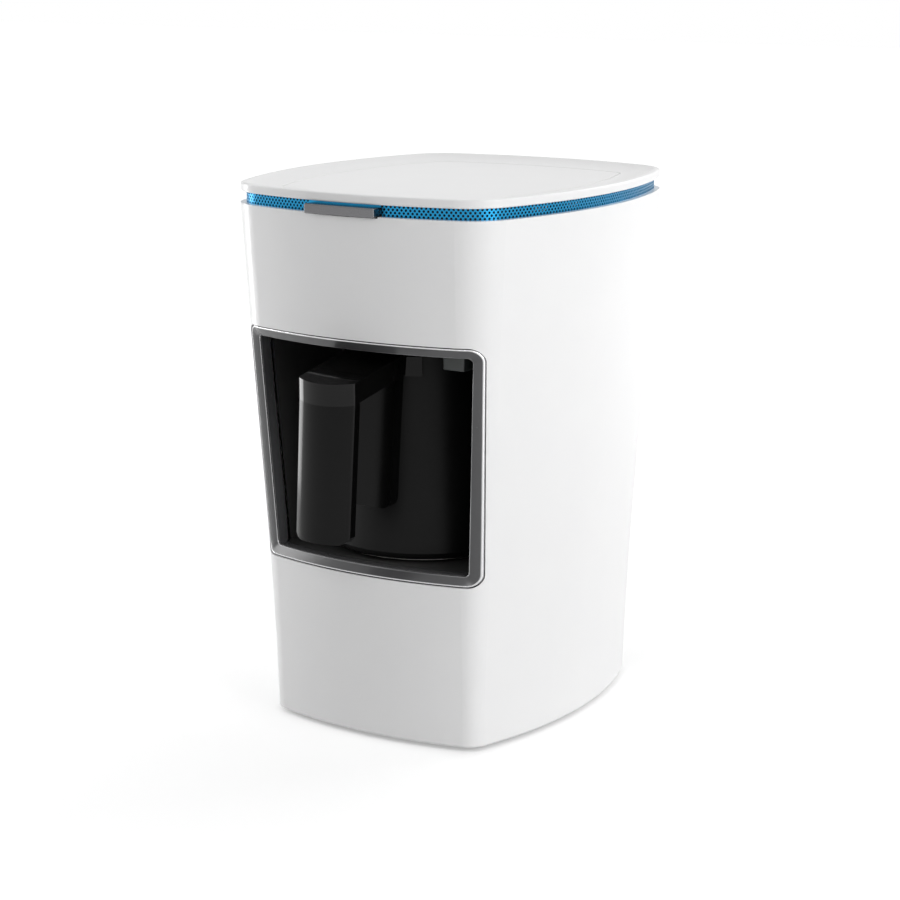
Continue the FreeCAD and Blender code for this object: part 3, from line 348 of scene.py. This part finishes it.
def corner_centre():
    """Centre of the front right corner arc, which touches the front arc and the side arc."""
    reach_front = FRONT_RADIUS - CORNER_RADIUS
    reach_side = SIDE_RADIUS - CORNER_RADIUS
    between = SIDE_CENTRE - FRONT_CENTRE
    span = between.length
    along = (reach_front ** 2 - reach_side ** 2 + span ** 2) / (2 * span)
    across = math.sqrt(reach_front ** 2 - along ** 2)
    return FRONT_CENTRE + between * (along / span) + Vector((-between.y, between.x)) * (across / span)


CORNER = corner_centre()
FRONT_TURN = math.atan2(CORNER.x, FRONT_CENTRE.y - CORNER.y)
SIDE_TURN = math.atan2(-CORNER.y, CORNER.x - SIDE_CENTRE.x)


def plan_arcs(inset):
    """The plan as (centre, radius, start angle, end angle), from the front's left end on to the right."""
    quarter = math.pi / 2
    front = FRONT_RADIUS - inset
    side = SIDE_RADIUS - inset
    corner = CORNER_RADIUS - inset
    x, y = CORNER
    return [
        (FRONT_CENTRE, front, -quarter - FRONT_TURN, -quarter + FRONT_TURN),
        (Vector((x, y)), corner, -quarter + FRONT_TURN, -SIDE_TURN),
        (SIDE_CENTRE, side, -SIDE_TURN, SIDE_TURN),
        (Vector((x, -y)), corner, SIDE_TURN, quarter - FRONT_TURN),
        (-FRONT_CENTRE, front, quarter - FRONT_TURN, quarter + FRONT_TURN),
        (Vector((-x, -y)), corner, quarter + FRONT_TURN, 2 * quarter - SIDE_TURN),
        (-SIDE_CENTRE, side, 2 * quarter - SIDE_TURN, 2 * quarter + SIDE_TURN),
        (Vector((-x, y)), corner, 2 * quarter + SIDE_TURN, 3 * quarter - FRONT_TURN),
    ]


def plan_length(arcs):
    """How long the closed plan is."""
    return sum(radius * (end - start) for _, radius, start, end in arcs)


def plan_point(arcs, distance):
    """The point that lies a distance along the plan."""
    distance = distance % plan_length(arcs)
    for centre, radius, start, end in arcs:
        length = radius * (end - start)
        if distance <= length:
            angle = start + distance / radius
            spoke = Vector((math.cos(angle), math.sin(angle))) * radius
            return centre + spoke + Vector((0.0, PLAN_MIDDLE_Y))
        distance -= length
    return plan_point(arcs, 0.0)


print("plan's middle (mm):", round(PLAN_MIDDLE_Y / MM, 2))
print("corner centre (mm):", [round(value / MM, 2) for value in CORNER])

# %% [markdown]
# The vent band is a thin blue strip with four staggered rows of round holes. Drawing the holes as a
# picture would lose them in close views, so each hole is cut: a cell has twelve points round its edge
# and twelve round its hole, and twelve quads between. Cells share their edge points, so the strip is
# one sheet, and a Solidify modifier gives it the thickness of sheet metal. Behind the press bar the
# strip has a window, with only the top row left over it, and that row has no holes.

# %% The perforated band
band_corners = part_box("vent_band")
BAND_LOW = band_corners[0][2]
BAND_HIGH = band_corners[1][2]
BAND_INSET = 3.0 * MM
BAND_ROWS = 4
HOLE_PITCH = 2.2 * MM
HOLE_RADIUS = 0.62 * MM
BAND_SHEET = 0.6 * MM
BAR_WINDOW_HALF = 20.1 * MM
CELL_STEPS = 4
HOLE_SIDES = 12


def perforated_sheet(arcs, count):
    """The strip with its holes, as a mesh without thickness."""
    pitch = plan_length(arcs) / count
    row_height = (BAND_HIGH - BAND_LOW) / BAND_ROWS
    half_cell = CELL_STEPS // 2
    sheet = bmesh.new()
    shared = {}

    def vertex(distance, z):
        """A new point at a distance along the plan."""
        point = plan_point(arcs, distance)
        return sheet.verts.new((point.x, point.y, z))

    def edge_vertex(step, half_row):
        """A point that neighbouring cells share."""
        key = (step % (CELL_STEPS * count), half_row)
        if key not in shared:
            shared[key] = vertex(step * pitch / CELL_STEPS, BAND_LOW + half_row * row_height / 2)
        return shared[key]

    def add_cell(row, column):
        """One cell round its hole, or what is left of the strip behind the press bar."""
        first = CELL_STEPS * column + half_cell * (row % 2)
        middle_s = (first + half_cell) * pitch / CELL_STEPS
        middle_z = BAND_LOW + (row + 0.5) * row_height
        place = plan_point(arcs, middle_s)
        behind_bar = place.y < PLAN_MIDDLE_Y and abs(place.x) < BAR_WINDOW_HALF
        if behind_bar and row < BAND_ROWS - 1:
            return
        low = 2 * row
        middle = low + 1
        high = low + 2
        rim = [edge_vertex(first + CELL_STEPS, middle)]
        rim += [edge_vertex(first + step, high) for step in reversed(range(CELL_STEPS + 1))]
        rim.append(edge_vertex(first, middle))
        rim += [edge_vertex(first + step, low) for step in range(CELL_STEPS + 1)]
        if behind_bar:
            sheet.faces.new(rim)
            return
        hole = []
        for side in range(HOLE_SIDES):
            angle = math.radians(360 / HOLE_SIDES * side)
            along = HOLE_RADIUS * math.cos(angle)
            hole.append(vertex(middle_s + along, middle_z + HOLE_RADIUS * math.sin(angle)))
        for side in range(HOLE_SIDES):
            after = (side + 1) % HOLE_SIDES
            sheet.faces.new([rim[side], rim[after], hole[after], hole[side]])

    for row in range(BAND_ROWS):
        for column in range(count):
            add_cell(row, column)
    mesh = bpy.data.meshes.new("vent_band_sheet")
    bmesh.ops.recalc_face_normals(sheet, faces=sheet.faces)
    sheet.to_mesh(mesh)
    sheet.free()
    return mesh


band_arcs = plan_arcs(BAND_INSET)
cell_count = round(plan_length(band_arcs) / HOLE_PITCH)
band = add_object("vent_band_sheet", perforated_sheet(band_arcs, cell_count))
thick = band.modifiers.new("sheet", "SOLIDIFY")
thick.thickness = BAND_SHEET
thick.offset = -1.0
band.data.materials.append(FINISHES["band_blue"])
print("cells round the band:", cell_count, "in rows:", BAND_ROWS)

# %% [markdown]
# The sheet moves with the housing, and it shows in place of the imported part's plain strip.

# %% Put the band in its place
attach(band, "housing")
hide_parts("vent_band")
print("band's points:", len(band.data.vertices))

# %% [markdown]
# The bezel's face slopes in from the casing's surface to the mouth, and its two edges are rounded, so
# they catch a bright line. The shape is swept: two rounded outlines with the same number of points,
# one outer and one at the mouth, and between them a cross-section. It has to follow the casing's
# front, which the niche cuts away. The front and the back are alike, so the wall is measured at the
# back, by a ray that comes from behind, a little beside the middle.

# %% Measure the wall
casing_tree = BVHTree.FromObject(nodes["casing"], bpy.context.evaluated_depsgraph_get())
PROBE_X = 0.02
BEHIND_Y = 0.4


def measured_inset(z):
    """How far the casing's wall is drawn in at a height."""
    hit, _, _, _ = casing_tree.ray_cast(Vector((PROBE_X, BEHIND_Y, z)), Vector((0, -1, 0)))
    depth_here = -FRONT_CENTRE.y + math.sqrt(FRONT_RADIUS ** 2 - PROBE_X ** 2)
    return depth_here - (hit.y - PLAN_MIDDLE_Y)


def surface_y(x, z, depth):
    """Y of the casing's front surface, a depth below it."""
    inset = measured_inset(z) + depth
    turn_x = math.sin(FRONT_TURN) * (FRONT_RADIUS - inset)
    if abs(x) < turn_x:
        return PLAN_MIDDLE_Y + FRONT_CENTRE.y - math.sqrt((FRONT_RADIUS - inset) ** 2 - x * x)
    reach = max((CORNER_RADIUS - inset) ** 2 - (abs(x) - CORNER.x) ** 2, 0.0)
    return PLAN_MIDDLE_Y + CORNER.y - math.sqrt(reach)


for height in (0.09, 0.15, 0.19):
    print("height (m):", height, "inset (mm):", round(measured_inset(height) / MM, 2))

# %% [markdown]
# A point of the cross-section has a share of the way from the outer outline to the mouth, a depth
# below the casing's surface in millimetres, and its polish. The first point lies outside the outline,
# so that the lip closes the gap to the casing, and the lip is coloured near black as painted shade of
# that gap.

# %% The bezel
def outline_corners(low_half, low_z, high_half, high_z):
    """Four corners of an outline that is wider at its top, in millimetres across and up."""
    return [(-low_half, low_z), (low_half, low_z), (high_half, high_z), (-high_half, high_z)]


OUTER_CORNERS = outline_corners(low_half=62.15, low_z=83.0, high_half=66.9, high_z=198.1)
MOUTH_CORNERS = outline_corners(low_half=55.5, low_z=87.6, high_half=60.8, high_z=193.1)
OUTER_ROUND = 6.0
MOUTH_ROUND = 2.2
CORNER_STEPS = 12
SIDE_STEPS = 40
# The lip's points carry the painted gap shade.
PAINTED_SHADE_LIP = [(-0.10, 0.9, POLISH_OF_GAP_SHADE), (0.0, 0.95, POLISH_OF_GAP_SHADE), (0.005, 0.8, POLISH_OF_GAP_SHADE)]
OUTER_EDGE = [(0.01, 0.68, POLISH_OF_EDGE), (0.04, 0.42, POLISH_OF_EDGE)]
ROUND_TO_FACE = [(0.09, 0.34, 0.95), (0.15, 0.42, 0.8)]
FACE = [(0.19, 0.54, POLISH_OF_FACE), (0.5, 1.5, POLISH_OF_FACE), (0.88, 2.78, POLISH_OF_FACE)]
MOUTH_EDGE = [(0.94, 3.0, 0.6), (0.98, 3.22, POLISH_OF_EDGE), (1.0, 3.6, POLISH_OF_EDGE)]
THROAT = [(1.0, 4.3, POLISH_OF_FACE), (1.0, 6.0, POLISH_OF_FACE), (1.0, 8.9, 0.4)]
SECTION = PAINTED_SHADE_LIP + OUTER_EDGE + ROUND_TO_FACE + FACE + MOUTH_EDGE + THROAT
BEZEL_SHARP_ANGLE = math.radians(50)


def rounded_loop(corners, radius):
    """Points round a four-cornered outline whose corners are arcs."""
    loop = []
    points = [Vector(corner) for corner in corners]
    joins = []
    for index, corner in enumerate(points):
        before = (points[index - 1] - corner).normalized()
        after = (points[(index + 1) % 4] - corner).normalized()
        half = before.angle(after) / 2
        reach = radius / math.tan(half)
        centre = corner + (before + after).normalized() * (radius / math.sin(half))
        joins.append((corner + before * reach, centre, corner + after * reach))
    for index, (start, centre, end) in enumerate(joins):
        first = start - centre
        turn = first.angle_signed(end - centre)
        for step in range(CORNER_STEPS):
            angle = -turn * step / CORNER_STEPS
            spoke = Vector((first.x * math.cos(angle) - first.y * math.sin(angle),
                            first.x * math.sin(angle) + first.y * math.cos(angle)))
            loop.append(centre + spoke)
        onward = joins[(index + 1) % 4][0]
        for step in range(SIDE_STEPS):
            loop.append(end.lerp(onward, step / SIDE_STEPS))
    return loop


def bezel_mesh():
    """The swept bezel: one ring of points for each point of the cross-section."""
    outer = rounded_loop(OUTER_CORNERS, OUTER_ROUND)
    mouth = rounded_loop(MOUTH_CORNERS, MOUTH_ROUND)
    count = len(outer)
    made = bmesh.new()
    rings = []
    polish = made.verts.layers.float.new("polish")
    for share, depth, shine in SECTION:
        ring = []
        for start, end in zip(outer, mouth):
            place = (start + (end - start) * share) * MM
            corner = made.verts.new((place.x, surface_y(place.x, place.y, depth * MM), place.y))
            corner[polish] = shine
            ring.append(corner)
        rings.append(ring)
    for near, far in zip(rings, rings[1:]):
        for index in range(count):
            after = (index + 1) % count
            made.faces.new([near[index], near[after], far[after], far[index]])
    bmesh.ops.recalc_face_normals(made, faces=made.faces)
    mesh = bpy.data.meshes.new("niche_bezel")
    made.to_mesh(mesh)
    made.free()
    mesh.shade_smooth()
    mesh.set_sharp_from_angle(angle=BEZEL_SHARP_ANGLE)
    mesh.materials.append(FINISHES["frame_dark"])
    return mesh


bezel = add_object("niche_bezel", bezel_mesh())
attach(bezel, "housing")
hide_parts("niche_frame")
print("bezel's points:", len(bezel.data.vertices))

# %% [markdown]
# Real edges are never knife sharp. A narrow Bevel on the handle's parts and on the sensor's housing
# gives each edge a thin highlight. A modifier leaves the imported points as they are.

# %% Soft edges
EDGE_WIDTHS = {"handle_arm": 0.5, "handle_grip": 0.5, "handle_bracket": 0.5, "sensor_housing": 0.3}
EDGE_SEGMENTS = 3
EDGE_ANGLE = math.radians(35)
for name, width in EDGE_WIDTHS.items():
    bevel = nodes[name].modifiers.new("edge", "BEVEL")
    bevel.width = width * MM
    bevel.segments = EDGE_SEGMENTS
    bevel.limit_method = "ANGLE"
    bevel.angle_limit = EDGE_ANGLE
print("soft edges on:", sorted(EDGE_WIDTHS))

# %% [markdown]
# The camera stands where the photograph's camera stood, as its perspective shows: a little right of
# the front, slightly above, more than a metre away with a long lens.

# %% Camera
CAMERA_PLACE = Vector((0.6040, PLAN_MIDDLE_Y - 0.9608, 0.3876))
CAMERA_AIM = Vector((-0.00232, PLAN_MIDDLE_Y - 0.00147, 0.12727))
CAMERA_LENS = 91.87
SENSOR_WIDTH = 36.0
CLIP_END = 20.0

camera_data = bpy.data.cameras.new("camera")
camera_data.lens = CAMERA_LENS
camera_data.sensor_width = SENSOR_WIDTH
camera_data.clip_end = CLIP_END
camera = add_object("camera", camera_data)
camera.location = CAMERA_PLACE
camera.rotation_euler = facing(CAMERA_PLACE, CAMERA_AIM)
bpy.context.scene.camera = camera
bpy.context.scene.view_settings.view_transform = "Standard"
print("camera's distance (m):", round((CAMERA_AIM - CAMERA_PLACE).length, 3))

# %% [markdown]
# The studio is plain: a pale floor, an even surround, and soft boxes. What the camera sees behind the
# object is white, while the light that the surround sheds on the object stays low. Metal and glass
# show that white too, so a ray that reaches the surround by way of them counts as the camera's.

# %% What shows the white background
def shows_background(tree):
    """1 for a ray that comes straight from the camera or by way of metal or glass, and else 0."""
    path = tree.nodes.new("ShaderNodeLightPath")
    total = path.outputs["Is Camera Ray"]
    for ray in ("Is Glossy Ray", "Is Transmission Ray"):
        either = tree.nodes.new("ShaderNodeMath")
        either.operation = "MAXIMUM"
        tree.links.new(total, either.inputs[0])
        tree.links.new(path.outputs[ray], either.inputs[1])
        total = either.outputs["Value"]
    return total

# %% [markdown]
# The floor's paint adds a glow that only such rays see. Round the object it glows less than further
# out, so that the object's shadow shows, and far out the floor melts into the white behind it.

# %% The floor's paint
GLOW_NEAR = 0.35
GLOW_FAR = 0.85
SHADOW_REACH = 0.25
GLOW_REACH = 1.0
FLOOR_COLOUR = (0.8, 0.8, 0.8, 1.0)
FLOOR_ROUGHNESS = 0.6


def floor_paint():
    """Pale matt paint with a glow that grows with the distance from the object."""
    paint = bpy.data.materials.new("floor_paint")
    paint.use_nodes = True
    tree = paint.node_tree
    shader = tree.nodes["Principled BSDF"]
    shader.inputs["Base Color"].default_value = FLOOR_COLOUR
    shader.inputs["Roughness"].default_value = FLOOR_ROUGHNESS
    glow = tree.nodes.new("ShaderNodeEmission")
    place = tree.nodes.new("ShaderNodeTexCoord")
    length = tree.nodes.new("ShaderNodeVectorMath")
    length.operation = "LENGTH"
    spread = tree.nodes.new("ShaderNodeMapRange")
    spread.inputs["From Min"].default_value = SHADOW_REACH
    spread.inputs["From Max"].default_value = GLOW_REACH
    spread.inputs["To Min"].default_value = GLOW_NEAR
    spread.inputs["To Max"].default_value = GLOW_FAR
    tree.links.new(place.outputs["Object"], length.inputs[0])
    tree.links.new(length.outputs["Value"], spread.inputs["Value"])
    tree.links.new(spread.outputs["Result"], glow.inputs["Strength"])
    both = tree.nodes.new("ShaderNodeAddShader")
    mix = tree.nodes.new("ShaderNodeMixShader")
    tree.links.new(shader.outputs["BSDF"], both.inputs[0])
    tree.links.new(glow.outputs["Emission"], both.inputs[1])
    tree.links.new(shows_background(tree), mix.inputs["Fac"])
    tree.links.new(shader.outputs["BSDF"], mix.inputs[1])
    tree.links.new(both.outputs["Shader"], mix.inputs[2])
    tree.links.new(mix.outputs["Shader"], tree.nodes["Material Output"].inputs["Surface"])
    return paint


print("floor's glow:", GLOW_NEAR, "to", GLOW_FAR, "from (m):", SHADOW_REACH, "to", GLOW_REACH)

# %% [markdown]
# The floor is a plain sheet at height 0, where the object's feet stand. It belongs to the stage and
# not to the object.

# %% Floor
FLOOR_HALF = 6.0
FLOOR_CELLS = 8


def floor_mesh():
    """A wide flat sheet in its paint."""
    made = bmesh.new()
    bmesh.ops.create_grid(made, x_segments=FLOOR_CELLS, y_segments=FLOOR_CELLS, size=FLOOR_HALF)
    mesh = bpy.data.meshes.new("studio_floor")
    made.to_mesh(mesh)
    made.free()
    mesh.materials.append(floor_paint())
    return mesh


floor = add_object("studio_floor", floor_mesh())
print("floor (m):", 2 * FLOOR_HALF, "square")

# %% [markdown]
# The surround has two strengths: a low one lights the object, and 1 is the white behind it.

# %% Surround
SURROUND = 0.2
BACKGROUND = 1.0
SURROUND_COLOUR = (1.0, 1.0, 1.0, 1.0)
world = bpy.data.worlds.new("studio")
world.use_nodes = True
bpy.context.scene.world = world
tree = world.node_tree
plain = tree.nodes["Background"]
plain.inputs["Color"].default_value = SURROUND_COLOUR
plain.inputs["Strength"].default_value = SURROUND
white = tree.nodes.new("ShaderNodeBackground")
white.inputs["Color"].default_value = SURROUND_COLOUR
white.inputs["Strength"].default_value = BACKGROUND
choose = tree.nodes.new("ShaderNodeMixShader")
tree.links.new(shows_background(tree), choose.inputs["Fac"])
tree.links.new(plain.outputs["Background"], choose.inputs[1])
tree.links.new(white.outputs["Background"], choose.inputs[2])
tree.links.new(choose.outputs["Shader"], tree.nodes["World Output"].inputs["Surface"])
print("light from the surround:", SURROUND, "seen as:", BACKGROUND)

# %% [markdown]
# Six soft boxes light the object: a big one each at the right, above and behind, a smaller one at the
# left, a small one in front that glints on the bezel, and a narrow strip at the left that draws a
# line down the handle. The front gets the least light, so that the casing's corners show.

# %% Soft boxes
OBJECT_MIDDLE = (0, 0, 0.14)
LID_MIDDLE = (0, 0, 0.2)
BESIDE_GRIP = (0, -0.07, 0.26)
# Each row is a name, a place, an aim, a width and height, and a power in watts.
SOFT_BOXES = [
    ("right_box", (1.5, -0.3, 0.7), OBJECT_MIDDLE, (1.0, 1.2), 13.6),
    ("left_box", (-1.2, -0.5, 0.7), OBJECT_MIDDLE, (0.35, 0.45), 2.9),
    ("left_strip", (-0.62, -0.07, 0.26), BESIDE_GRIP, (0.16, 0.5), 1.4),
    ("front_box", (0.32, -1.2, 1.0), OBJECT_MIDDLE, (0.2, 0.25), 1.3),
    ("top_box", (0.1, 0.1, 1.6), LID_MIDDLE, (1.4, 1.4), 6.0),
    ("back_box", (0.6, 1.5, 0.8), OBJECT_MIDDLE, (1.0, 1.2), 7.0),
]


def soft_box(name, place, aim, size, power):
    """A rectangular lamp that points at a place and that the camera doesn't see."""
    data = bpy.data.lights.new(name, "AREA")
    data.shape = "RECTANGLE"
    data.size, data.size_y = size
    data.energy = power
    lamp = add_object(name, data)
    lamp.visible_camera = False
    lamp.location = place
    lamp.rotation_euler = facing(place, aim)


for box in SOFT_BOXES:
    soft_box(*box)
print("soft boxes:", len(SOFT_BOXES), "watts:", round(sum(box[4] for box in SOFT_BOXES), 1))
